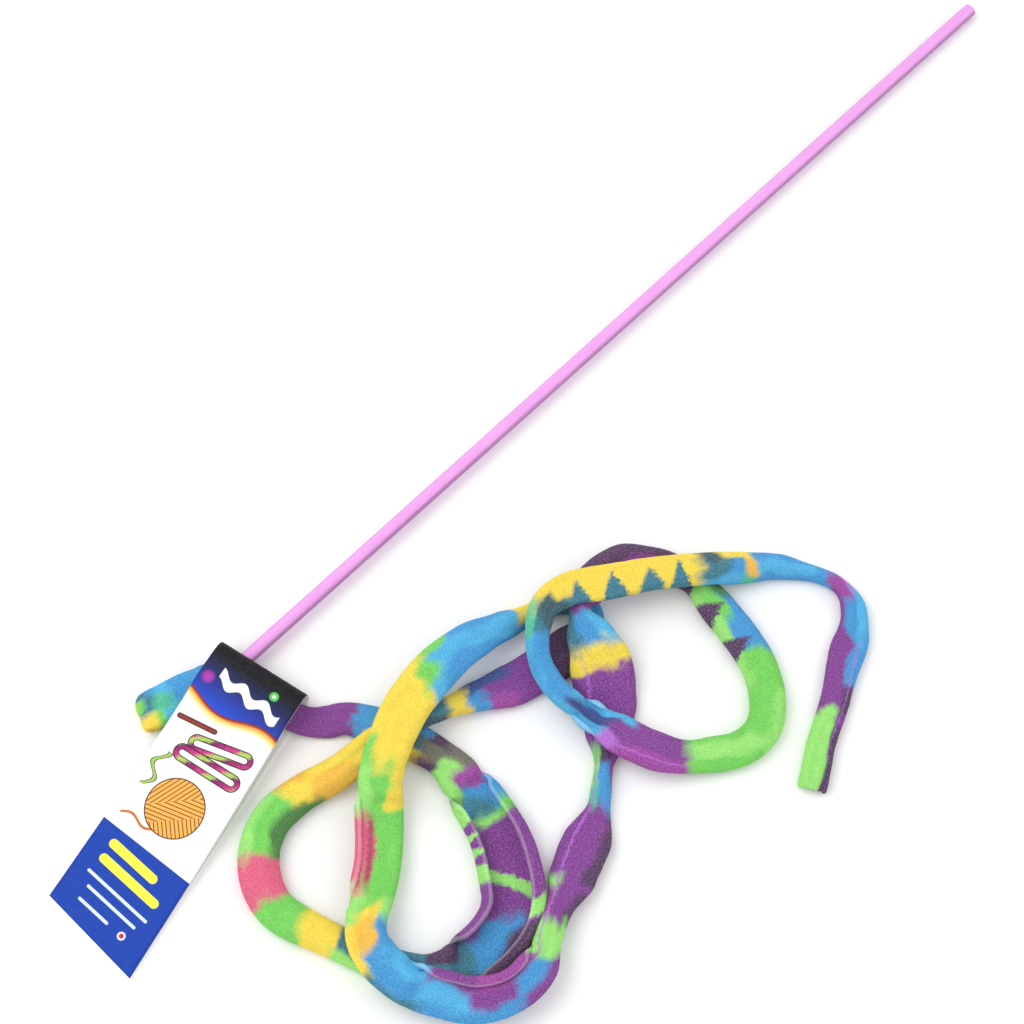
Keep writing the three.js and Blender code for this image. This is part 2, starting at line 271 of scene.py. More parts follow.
class Field:
    """One socket of a material's node tree, with the sums that patterns are written in."""

    def __init__(self, sheet, socket):
        self.sheet = sheet
        self.socket = socket

    def _math(self, operation, *values):
        return self.sheet.node("ShaderNodeMath", {"operation": operation}, values)

    def __add__(self, other):
        return self._math("ADD", self, other)

    def __radd__(self, other):
        return self._math("ADD", other, self)

    def __sub__(self, other):
        return self._math("SUBTRACT", self, other)

    def __rsub__(self, other):
        return self._math("SUBTRACT", other, self)

    def __mul__(self, other):
        return self._math("MULTIPLY", self, other)

    def __rmul__(self, other):
        return self._math("MULTIPLY", other, self)

    def __truediv__(self, other):
        return self._math("DIVIDE", self, other)

    def abs(self):
        return self._math("ABSOLUTE", self)

    def max(self, other):
        return self._math("MAXIMUM", self, other)

    def min(self, other):
        return self._math("MINIMUM", self, other)

    def sin(self):
        return self._math("SINE", self)

    def sqrt(self):
        return self._math("SQRT", self)

    def repeat(self):
        return self._math("FRACT", self)

    def above(self, edge, soft):
        """0 below the edge, 1 above it, with a soft step."""
        settings = {"interpolation_type": "SMOOTHSTEP", "clamp": True}
        return self.sheet.node("ShaderNodeMapRange", settings, (self, edge - soft, edge + soft, 0.0, 1.0))

    def below(self, edge, soft):
        return 1.0 - self.above(edge, soft)


class Sheet:
    """A material's node tree."""

    def __init__(self, name):
        self.material = bpy.data.materials.new(name)
        self.material.use_nodes = True
        self.tree = self.material.node_tree
        self.tree.nodes.clear()

    def node(self, kind, settings=None, values=(), output=0):
        made = self.tree.nodes.new(kind)
        for key, value in (settings or {}).items():
            if key == "stops":
                set_stops(made.color_ramp, value)
            else:
                setattr(made, key, value)
        pairs = values.items() if isinstance(values, dict) else enumerate(values)
        for key, value in pairs:
            if isinstance(value, Field):
                self.tree.links.new(value.socket, made.inputs[key])
            elif value is not None:
                made.inputs[key].default_value = value
        return Field(self, made.outputs[output])

    def mix(self, factor, first, second):
        settings = {"data_type": "RGBA", "clamp_factor": True}
        return self.node("ShaderNodeMix", settings, {0: factor, 6: first, 7: second}, output=2)

    def noise(self, vector, scale, detail=2.0, rough=0.5):
        values = {"Vector": vector, "Scale": scale, "Detail": detail, "Roughness": rough}
        return self.node("ShaderNodeTexNoise", {}, values)

    def map(self, name):
        """The two numbers of a UV map, as fields."""
        return self.split(self.node("ShaderNodeUVMap", {"uv_map": name}))[:2]

    def split(self, vector):
        first = self.node("ShaderNodeSeparateXYZ", {}, (vector,))
        return [Field(self, part) for part in first.socket.node.outputs]

    def vector(self, x, y, z=0.0):
        return self.node("ShaderNodeCombineXYZ", {}, (x, y, z))

    def place(self):
        """Object coordinates, in metres."""
        return self.node("ShaderNodeTexCoord", {}, (), output=3)

    def bump(self, height, strength, distance):
        values = {"Strength": strength, "Distance": distance, "Height": height}
        return self.node("ShaderNodeBump", {}, values)

    def finish(self, constants, fields):
        """The finished material: constants on the shader's own sockets, fields linked to the others."""
        shader = self.tree.nodes.new("ShaderNodeBsdfPrincipled")
        for key, value in constants.items():
            shader.inputs[key].default_value = value
        for key, field in fields.items():
            self.tree.links.new(field.socket, shader.inputs[key])
        output = self.tree.nodes.new("ShaderNodeOutputMaterial")
        self.tree.links.new(shader.outputs[0], output.inputs[0])
        return self.material


def set_stops(ramp, stops):
    while len(ramp.elements) > 1:
        ramp.elements.remove(ramp.elements[-1])
    ramp.elements[0].position, ramp.elements[0].color = stops[0]
    for position, colour in stops[1:]:
        ramp.elements.new(position).color = colour


# ------------------------ lines and strips


def smooth(t):
    t = min(max(t, 0.0), 1.0)
    return t * t * (3 - 2 * t)


SPAN_STEPS = 12  # straight pieces that a curve has from one given point to the next


def through(points, steps):
    """Evenly spaced points on a smooth curve through the given points, and the curve's length."""
    fine = []
    count = len(points)
    for i in range(count - 1):
        p0 = points[max(i - 1, 0)]
        p1, p2 = points[i], points[i + 1]
        p3 = points[min(i + 2, count - 1)]
        bend = 2 * p0 - 5 * p1 + 4 * p2 - p3
        twist = 3 * p1 - p0 - 3 * p2 + p3
        for k in range(SPAN_STEPS):
            t = k / SPAN_STEPS
            fine.append(0.5 * (2 * p1 + (p2 - p0) * t + bend * t * t + twist * t * t * t))
    fine.append(points[-1])
    run = [0.0]
    for a, b in zip(fine, fine[1:]):
        run.append(run[-1] + (b - a).length)
    even = []
    j = 0
    for i in range(steps + 1):
        want = run[-1] * i / steps
        while j < len(run) - 2 and run[j + 1] < want:
            j += 1
        span = run[j + 1] - run[j]
        even.append(fine[j].lerp(fine[j + 1], (want - run[j]) / span if span else 0.0))
    return even, run[-1]


def form_at(shape, distance):
    """The section's form, width and roll at a distance along the strip, eased between listed places."""
    rows = [(place, (*FORMS[form], width, roll)) for place, form, width, roll in shape]
    for (a, low), (b, high) in zip(rows, rows[1:]):
        if distance <= b:
            t = smooth((distance - a) / (b - a))
            return [p + (q - p) * t for p, q in zip(low, high)]
    return rows[-1][1]


EDGE_START = 0.45  # where an edge's own bend starts, as a share of the half width
EDGE_SPAN = 0.42  # over how much of the half width it bends


def section_points(form, cells):
    """The section as (across, up) points from its right edge to its left, standing on 0.

    Its shape is what the bends give, and it is then scaled to the form's width and height.
    """
    bend, left, right, height, width, roll = form
    across, up = 0.0, 0.0
    points = [(0.0, 0.0)]
    for k in range(cells):
        v = (2 * k + 1) / cells - 1
        angle = -bend / 2 * v
        angle -= left * smooth((v - EDGE_START) / EDGE_SPAN)
        angle += right * smooth((-v - EDGE_START) / EDGE_SPAN)
        across += math.cos(math.radians(angle))
        up += math.sin(math.radians(angle))
        points.append((across, up))
    low = min(a for a, u in points)
    scale = (width - FLEECE) / (max(a for a, u in points) - low)
    rise = height / (max(u for a, u in points) - min(u for a, u in points))
    c, s = math.cos(math.radians(roll)), math.sin(math.radians(roll))
    turned = [(a * scale * c - u * rise * s, a * scale * s + u * rise * c) for a, u in points]
    middle = (min(a for a, u in turned) + max(a for a, u in turned)) / 2
    lowest = min(u for a, u in turned)
    return [(a - middle, u - lowest) for a, u in turned]


def creases(distance, share, seed):
    """How far the cloth is off its even form at a place: (across, up), in millimetres."""
    soft = noise.noise(Vector((distance / 11.0, share * 4.0, seed)))
    fold = noise.noise(Vector((distance / 38.0, share * 6.5, seed + 5.0)))
    fine = noise.noise(Vector((distance / 3.6, share * 9.0, seed + 7.0)))
    sway = noise.noise(Vector((distance / 24.0, seed + 3.0, 0.0)))
    return 0.3 * fine + 0.8 * sway, 0.5 * soft + 1.05 * fold + 0.22 * fine


def strip_piece(name, points, shape, steps, cells, hidden, seed, side=None):
    """A cut strip of fleece laid along a line. Its map runs along it and across it, from 0 to 1.

    With a side given, every section lies along that direction and is centred on the line. Without one,
    each lies across the line and stands on it.
    """
    line, length = through(points, steps)
    lift = FLEECE / 2 if side is None else 0.0
    bm = bmesh.new()
    bm.loops.layers.uv.new("strip")
    bmesh.ops.create_grid(bm, x_segments=steps, y_segments=cells, size=1.0, calc_uvs=True)
    columns = {}
    for vert in bm.verts:
        i = round((vert.co.x + 1) / 2 * steps)
        k = round((vert.co.y + 1) / 2 * cells)
        if i not in columns:
            ahead = (line[min(i + 1, steps)] - line[max(i - 1, 0)]).normalized()
            left = side or Vector((-ahead.y, ahead.x, 0.0)).normalized()
            distance = length * i / steps
            section = section_points(form_at(shape, distance), cells)
            columns[i] = (line[i], left, ahead.cross(left), section, distance)
        centre, left, up, section, distance = columns[i]
        across, rise = section[k]
        free = smooth((distance - hidden) / FREE_OVER)
        off_across, off_rise = creases(distance, k / cells, seed)
        spot = centre + left * (across + free * off_across) + up * (rise + free * off_rise + lift)
        spot.z = max(spot.z, FLEECE / 2 + FLOOR_GAP)
        vert.co = DATUM + spot * MM
    bmesh.ops.recalc_face_normals(bm, faces=bm.faces)
    piece = new_piece(name, bm)
    wall = piece.modifiers.new("cloth", "SOLIDIFY")
    wall.thickness = FLEECE * MM
    wall.offset = 0.0
    round_off = piece.modifiers.new("nap", "SUBSURF")
    round_off.levels = round_off.render_levels = 1
    return piece, length


def new_piece(name, bm, sharp=None):
    """An object made of the mesh, shaded smooth but for edges over the sharp angle, in degrees."""
    mesh = bpy.data.meshes.new(name)
    bm.to_mesh(mesh)
    bm.free()
    piece = bpy.data.objects.new(name, mesh)
    bpy.context.collection.objects.link(piece)
    mesh.shade_smooth()
    if sharp is not None:
        mesh.set_sharp_from_angle(angle=math.radians(sharp))
    return piece


# ------------------------ fleece


RAMP_BANDS = 14  # as many bands as one ramp takes with two stops each, under its limit of 32 stops
BAND_BLUR = 2.0
BLUR_SHARE = 0.35  # the most of a band that the blur at one end takes


def fleece_ramp(sheet, along, rows, total):
    """One lane's colours along the strip, on as many ramps as its bands need."""
    bands = []
    for start, name in rows:
        if not bands or bands[-1][1] != name:
            bands.append((start, name))
    result = None
    for first in range(0, len(bands), RAMP_BANDS):
        group = bands[first:first + RAMP_BANDS]
        after = first + len(group)
        low = group[0][0]
        high = bands[after][0] if after < len(bands) else total
        ends = [start for start, name in group[1:]] + [high]
        stops = []
        for (start, name), end in zip(group, ends):
            soft = min(BAND_BLUR, BLUR_SHARE * (end - start))
            colour = hue(*DYES[name])
            stops.append(((start + (soft if stops else 0.0) - low) / (high - low), colour))
            if end != high:
                stops.append(((end - soft - low) / (high - low), colour))
        ramp = sheet.node("ShaderNodeValToRGB", {"stops": stops}, ((along - low) / (high - low),))
        result = ramp if result is None else sheet.mix(along.above(low, BAND_BLUR), result, ramp)
    return result


# The lanes of dye from the strip's right edge to its left: the column of the bands' list each takes,
# the slice of noise that its bands' ends wander by, and where it starts across the strip.
LANES = ((3, 0.0, None), (2, 0.11, 0.34), (1, 0.23, 0.63))


class Fleece:
    """A dyed strip's material: its map in metres, its noise, and its colour so far."""

    def __init__(self, name, bands, total):
        self.sheet = sheet = Sheet(name)
        self.u, self.v = sheet.map("strip")
        self.total = total
        self.metre_u = self.u * (total * MM)
        self.metre_v = self.v * (STRIP * MM)
        self.feather = self.noise(0.7, 520.0, 3.0, 0.6)
        sideways = self.noise(0.3, 75.0, 1.0, 0.4)
        lane = self.v + (sideways - 0.5) * 0.42 + (self.feather - 0.5) * 0.1
        for column, depth, start in LANES:
            wander = self.noise(depth, 85.0, 1.0, 0.4)
            along = self.u * total + (wander - 0.5) * 15.0 + (self.feather - 0.5) * 3.0
            ramp = fleece_ramp(sheet, along, [(band[0], band[column]) for band in bands], total)
            self.dyed = ramp if start is None else sheet.mix(lane.above(start, 0.07), self.dyed, ramp)

    def noise(self, depth, scale, detail, rough):
        return self.sheet.noise(self.sheet.vector(self.metre_u, self.metre_v, depth), scale, detail, rough)

    def dye_and_shade(self, mask, name):
        self.dyed = self.sheet.mix(mask, self.dyed, hue(*DYES[name]))

    def finish(self):
        """The nap, the fibres and the pale rims of the cut edges, over the colour so far."""
        sheet = self.sheet
        cloud = self.noise(0.0, 210.0, 4.0, 0.65)
        nap = self.noise(0.0, 1900.0, 3.0, 0.7)
        pill = self.noise(0.5, 760.0, 2.0, 0.5)
        speck = self.noise(0.9, 1100.0, 2.0, 0.7)
        drawn_out = sheet.vector(self.metre_u * 0.45, self.metre_v * 1.6, 0.2)
        fibre = sheet.noise(drawn_out, 3600.0, 2.0, 0.6)
        tone = sheet.mix((0.5 - speck).above(0.0, 0.14) * 0.13, self.dyed, (0.05, 0.02, 0.08, 1.0))
        tone = sheet.mix((speck - 0.54).above(0.0, 0.14) * 0.08, tone, WHITE)
        tone = sheet.mix((0.62 - cloud).above(0.0, 0.3) * 0.16, tone, (0.02, 0.01, 0.03, 1.0))
        tone = sheet.mix((nap - 0.52).above(0.0, 0.22) * 0.08, tone, WHITE)
        rim = ((self.v - 0.5).abs() - 0.478).above(0.0, 0.012)
        tone = sheet.mix(rim * 0.14, tone, (1.0, 0.96, 1.0, 1.0))
        height = nap * 0.5 + fibre * 0.22 + pill * 0.6 + speck * 0.4 + cloud * 0.5
        constants = {
            "Sheen Weight": 0.06,
            "Sheen Roughness": 0.55,
            "Sheen Tint": WHITE,
            "Specular IOR Level": 0.08,
        }
        fields = {
            "Base Color": tone,
            "Roughness": 0.86 + (nap - 0.5) * 0.2,
            "Normal": sheet.bump(height, 0.55, 0.0007),
        }
        return sheet.finish(constants, fields)


def triangle_spots(along, inward, centres, half, depth):
    """Dyed points that start on the strip's right edge and narrow towards its middle."""
    spots = None
    for centre in centres:
        reach = depth - (along - centre).abs() * (depth / half)
        spot = (reach - inward).above(0.0, 0.09)
        spots = spot if spots is None else spots.max(spot)
    return spots


# Where the ribbon's drawn marks and its painted crease shade are, in millimetres from its start.
SLANT_STRIPE, SLANT_HALF, SLANT_RUN = 139.0, 2.6, 22.0
PALE_EDGE, PALE_EDGE_HALF = 130.0, 19.0
PALE_EDGE_MARKS = (124.0, 131.0, 138.5)
GREEN_LOOP_POINTS = (944.0, 961.0, 979.0)
LONG_TEETH = (1162.0, 1191.0)
SHORT_TEETH = (1176.5, 1204.0)
PALE_FOLD_LINES = ((785.0, 78.0, 8.0), (1066.0, 14.0, 4.0), (1325.0, 26.0, 4.0))  # middle, half length, blur
PALE_FOLD_LINE_SHARE = 0.7  # how far across the strip
FLAP_CREASE, FLAP_CREASE_HALF, FLAP_CREASE_SHARE = 620.0, 15.0, 0.36


def ribbon_material(total):
    cloth = Fleece("dyed_fleece", BANDS, total)
    along = cloth.u * total + (cloth.feather - 0.5) * 4.5
    inward = cloth.v + (cloth.feather - 0.5) * 0.12
    # A pale stripe that crosses the trough aslant.
    slant = along - SLANT_STRIPE - cloth.v * SLANT_RUN
    cloth.dye_and_shade(slant.abs().below(SLANT_HALF, 0.9), "light green")
    # The trough's pale inner edge, with purple marks on it.
    edge = (along - PALE_EDGE).abs().below(PALE_EDGE_HALF, 2.0)
    cloth.dye_and_shade(inward.below(0.27, 0.04) * edge, "light green")
    cloth.dye_and_shade(triangle_spots(along, inward, PALE_EDGE_MARKS, 2.8, 0.34), "purple")
    # Purple points down the green loop's inner edge.
    cloth.dye_and_shade(triangle_spots(along, inward, GREEN_LOOP_POINTS, 8.0, 0.6), "dark purple")
    # Teal points along the yellow stretch's inner edge.
    teeth = triangle_spots(along, inward, LONG_TEETH, 8.0, 0.58)
    cloth.dye_and_shade(teeth.max(triangle_spots(along, inward, SHORT_TEETH, 6.8, 0.66)), "teal")
    # Pale lilac lines along folds in the purple stretches.
    fold_lines = [(along - middle).abs().below(half, blur) for middle, half, blur in PALE_FOLD_LINES]
    stretches = fold_lines[0].max(fold_lines[1]).max(fold_lines[2])
    cloth.dye_and_shade((inward - PALE_FOLD_LINE_SHARE).abs().below(0.018, 0.012) * stretches * 0.7, "lilac")
    # Painted shade: a dark red line along the crease where the flap turns up.
    flap_crease_shade = (along - FLAP_CREASE).abs().below(FLAP_CREASE_HALF, 4.0)
    cloth.dye_and_shade((inward - FLAP_CREASE_SHARE).abs().below(0.05, 0.04) * flap_crease_shade, "red")
    return cloth.finish()


# The tail's middle line, in the tag's own frame.
TAIL_ROUTE = [
    (3, -8.5, 11.3), (-1, -10.8, 11.0), (-5.5, -15.8, 8.2), (-10.2, -22, 4.6), (-14.8, -28.6, 3.1),
    (-19.2, -35, 3.4), (-21.4, -38.2, 3.8), (-22.4, -39.8, 2.9), (-21.2, -39.2, 1.5), (-18, -36.5, 1.3),
]
TAIL_SHAPE = [
    (0, "pressed", 13, 0), (6, "pressed", 14, 0), (13, "lapped", 17, 0), (26, "lapped", 19, 0),
    (36, "lapped", 18, 0), (44, "pressed", 15, 0), (60, "pressed", 14, 0),
]
TAIL_BANDS = [
    (0, "blue", "blue", "blue"),
    (20, "light blue", "blue", "blue"),
    (28, "light blue", "mint", "light blue"),
    (32, "green", "mint", "light blue"),
    (36, "yellow", "teal", "blue"),
    (40, "yellow", "green", "teal"),
    (44, "yellow", "yellow", "yellow"),
]


def from_tag(x, y, z=0.0):
    """A point of the tag's own frame, in millimetres from the rod's free end."""
    c, s = math.cos(TAG_TURN), math.sin(TAG_TURN)
    return Vector((FOLD_X + x * c - y * s, x * s + y * c, z))


def in_scene(x, y, z=0.0):
    """The same point, in metres in the scene."""
    return DATUM + from_tag(x, y, z) * MM


# ------------------------ rod


def rod_material():
    sheet = Sheet("pink_rod_plastic")
    place = sheet.place()
    x, y, z = sheet.split(place)
    drawn = sheet.noise(sheet.vector(x * 6.0, y * 900.0, z * 900.0), 1.0, 2.0, 0.5)
    haze = sheet.noise(place, 55.0, 4.0, 0.6)
    scuff = sheet.noise(sheet.vector(x * 380.0, y * 90.0, z * 90.0), 1.0, 3.0, 0.7)
    radius = (ROD_HIGH[1] - ROD_LOW[1]) / 2
    # Painted shade: the base colour darkens to mauve towards the rod's flanks, away from its middle line.
    rod_flank_shade = (y - DATUM.y).abs() / radius
    body = sheet.mix(haze.above(0.5, 0.3) * 0.35, hue(0.95, 0.66, 0.94), hue(0.88, 0.55, 0.88))
    body = sheet.mix(rod_flank_shade.above(0.78, 0.24) * 0.75, body, hue(0.50, 0.24, 0.50))
    rough = 0.24 + scuff.above(0.62, 0.1) * 0.16 + drawn * 0.08
    normal = sheet.bump(drawn * 0.6 + scuff * 0.4, 0.12, 0.0002)
    constants = {"IOR": 1.55, "Transmission Weight": 0.12, "Coat Weight": 0.2, "Coat Roughness": 0.12}
    return sheet.finish(constants, {"Base Color": body, "Roughness": rough, "Normal": normal})


# ------------------------ tag

# The card's profile from its hidden edge, up round the fold and down to its free end: y, z.
CARD_PROFILE = [
    (-6, 0.85), (-3.4, 0.85), (-1.0, 1.6), (0.7, 4.0), (1.15, 7.2), (0.6, 10.8), (-0.9, 13.2),
    (-3.6, 14.1), (-9, 14.15), (-16, 13.7), (-21, 12.4), (CREASE_Y, 10.5), (-32, 9.2), (-50, 6.9),
    (-75, 4.4), (-100, 2.5), (-LEAF_RIGHT_LENGTH, 1.45),
]
CARD_ROWS, CARD_CELLS = 150, 24
CARD_MAP = 150.0  # millimetres of card that the map's 0 to 1 covers
SAG, SAG_FROM, SAG_OVER = 1.1, 9.0, 4.0  # how far the fold sags at its right, and above what height
SAG_START = 0.45  # the share of the card's width where that starts
WARP = 0.25
HOLE_RADIUS, HOLE_DEPTH = 3.3, 9.0


def make_front_card(thickness):
    """The folded card: a grid bent along its profile, from behind the fold to the slanted free end."""
    line, length = through([Vector((0, y, z)) for y, z in CARD_PROFILE], CARD_ROWS)
    right_leaf = LEAF_RIGHT_LENGTH + CREASE_Y  # from the crease to the free end, at the right
    bm = bmesh.new()
    layer = bm.loops.layers.uv.new("card")
    bmesh.ops.create_grid(bm, x_segments=CARD_CELLS, y_segments=CARD_ROWS, size=1.0)
    places = {}
    for vert in bm.verts:
        a = (vert.co.x + 1) / 2
        j = CARD_ROWS - round((vert.co.y + 1) / 2 * CARD_ROWS)
        _, y, z = line[j]
        along = j / CARD_ROWS * length
        if y < CREASE_Y:
            reach = LEAF_LEFT_LENGTH + (LEAF_RIGHT_LENGTH - LEAF_LEFT_LENGTH) * a
            shrink = (reach + CREASE_Y) / right_leaf
            along = length - right_leaf + (CREASE_Y - y) * shrink
            y = CREASE_Y + (y - CREASE_Y) * shrink
        flare = TAG_FLARE * max(0.0, -y) / LEAF_RIGHT_LENGTH
        x = TAG_LEFT + a * (TAG_WIDTH + flare)
        if z > SAG_FROM:
            z -= SAG * smooth((a - SAG_START) / (1 - SAG_START)) * smooth((z - SAG_FROM) / SAG_OVER)
        z += WARP * noise.noise(Vector((x / 17.0, y / 21.0, 4.0))) * smooth(-y / 40)
        places[vert] = (x - TAG_LEFT, along)
        vert.co = in_scene(x, y, z)
    for face in bm.faces:
        for loop in face.loops:
            x, along = places[loop.vert]
            loop[layer].uv = (x / CARD_MAP, along / CARD_MAP)
    bmesh.ops.recalc_face_normals(bm, faces=bm.faces)
    top = max(bm.faces, key=lambda f: f.calc_center_median().z)
    if top.normal.z < 0:
        bmesh.ops.reverse_faces(bm, faces=bm.faces)
    card = new_piece("tag_card", bm, sharp=50)
    card.data.materials.append(printed_card_material())
    card.data.materials.append(plain_card_material("plain_card_inside"))
    wall = card.modifiers.new("thickness", "SOLIDIFY")
    wall.thickness = thickness
    wall.offset = -1.0
    wall.material_offset = 1
    wall.material_offset_rim = 1
    apply_modifiers(card)
    pierce(card)
    return card


def apply_modifiers(piece):
    """Makes what the modifiers give the object's own mesh."""
    graph = bpy.context.evaluated_depsgraph_get()
    mesh = bpy.data.meshes.new_from_object(piece.evaluated_get(graph))
    piece.modifiers.clear()
    piece.data = mesh


def pierce(card):
    """Cuts the round hole that the rod goes through, in the fold's wall."""
    bm = bmesh.new()
    bmesh.ops.create_cone(
        bm, cap_ends=True, segments=32, radius1=HOLE_RADIUS, radius2=HOLE_RADIUS, depth=HOLE_DEPTH
    )
    turn = Matrix.Rotation(math.radians(90), 4, "Y")
    centre = (SLEEVE_LOW[2] + SLEEVE_HIGH[2]) / 2
    place = Matrix.Translation((DATUM.x + (FOLD_X + 1.0) * MM, DATUM.y, centre))
    bmesh.ops.transform(bm, matrix=place @ turn @ Matrix.Scale(MM, 4), verts=bm.verts)
    punch = new_piece("punch", bm)
    punch.data.shade_flat()
    cut = card.modifiers.new("hole", "BOOLEAN")
    cut.operation = "DIFFERENCE"
    cut.solver = "EXACT"
    cut.object = punch
    apply_modifiers(card)
    bpy.data.objects.remove(punch)


def bar(x, y, cx, cy, half_x, half_y, turn=0.0, soft=0.12):
    """A bar with round ends, centred on (cx, cy) and turned, as a mask."""
    c, s = math.cos(math.radians(turn)), math.sin(math.radians(turn))
    dx, dy = x - cx, y - cy
    px = dx * c + dy * s
    py = dy * c - dx * s
    over = (px.abs() - (half_x - half_y)).max(0.0)
    return (over * over + py * py).sqrt().below(half_y, soft)


def spot_mask(x, y, cx, cy, radius, soft=0.12):
    """A disc, as a mask."""
    dx, dy = x - cx, y - cy
    return (dx * dx + dy * dy).sqrt().below(radius, soft)


FOLD_RISE = 17.6  # along the card, from its hidden edge to the top of the fold

# The print's shapes, from the card's left edge and from the top of the fold. Turns are in degrees.
HEADER_INK_END = 24.0
GLOW = (4.2, 14.5)
WAVE_Y, WAVE_SWING, WAVE_LENGTH, WAVE_BAND = 22.4, 2.5, 41.0, 5.2
RIPPLE_Y, RIPPLE_LEFT, RIPPLE_RIGHT, RIPPLE_HALF = 10.8, 8.0, 37.5, 2.1
DOT = (31.0, 7.4)
LOOPS = ((24.8, 37.6, 14.0, 3.7, -11.0), (23.6, 45.6, 15.5, 3.7, 0.0))  # middle, half sizes, turn
STROKE, STROKE_TURN = (10.5, 33.0), -6.0
TRAIL_X, TRAIL_TOP, TRAIL_END = 6.0, 48.0, 64.0
BALL = (22.0, 65.5)
BALL_RADIUS = 12.0
WINDINGS = ((25.0, -12.0, -3.0), (80.0, -3.0, 4.5), (140.0, 4.5, 12.0))  # turn, and between what lines
YARN_END_Y, YARN_LEFT, YARN_RIGHT = 77.0, 4.0, 21.0
BLOCK_Y, BLOCK_SLOPE = 82.8, 0.09
BROAD_BARS = ((20.0, 91.2, 12.5), (23.0, 98.4, 15.5))  # middle and half length
THIN_BARS = ((22.5, 105.6, 16.0), (23.0, 110.4, 13.0), (18.0, 115.4, 8.0))
BAR_TURN = 9.0
RING = (33.0, 117.6)


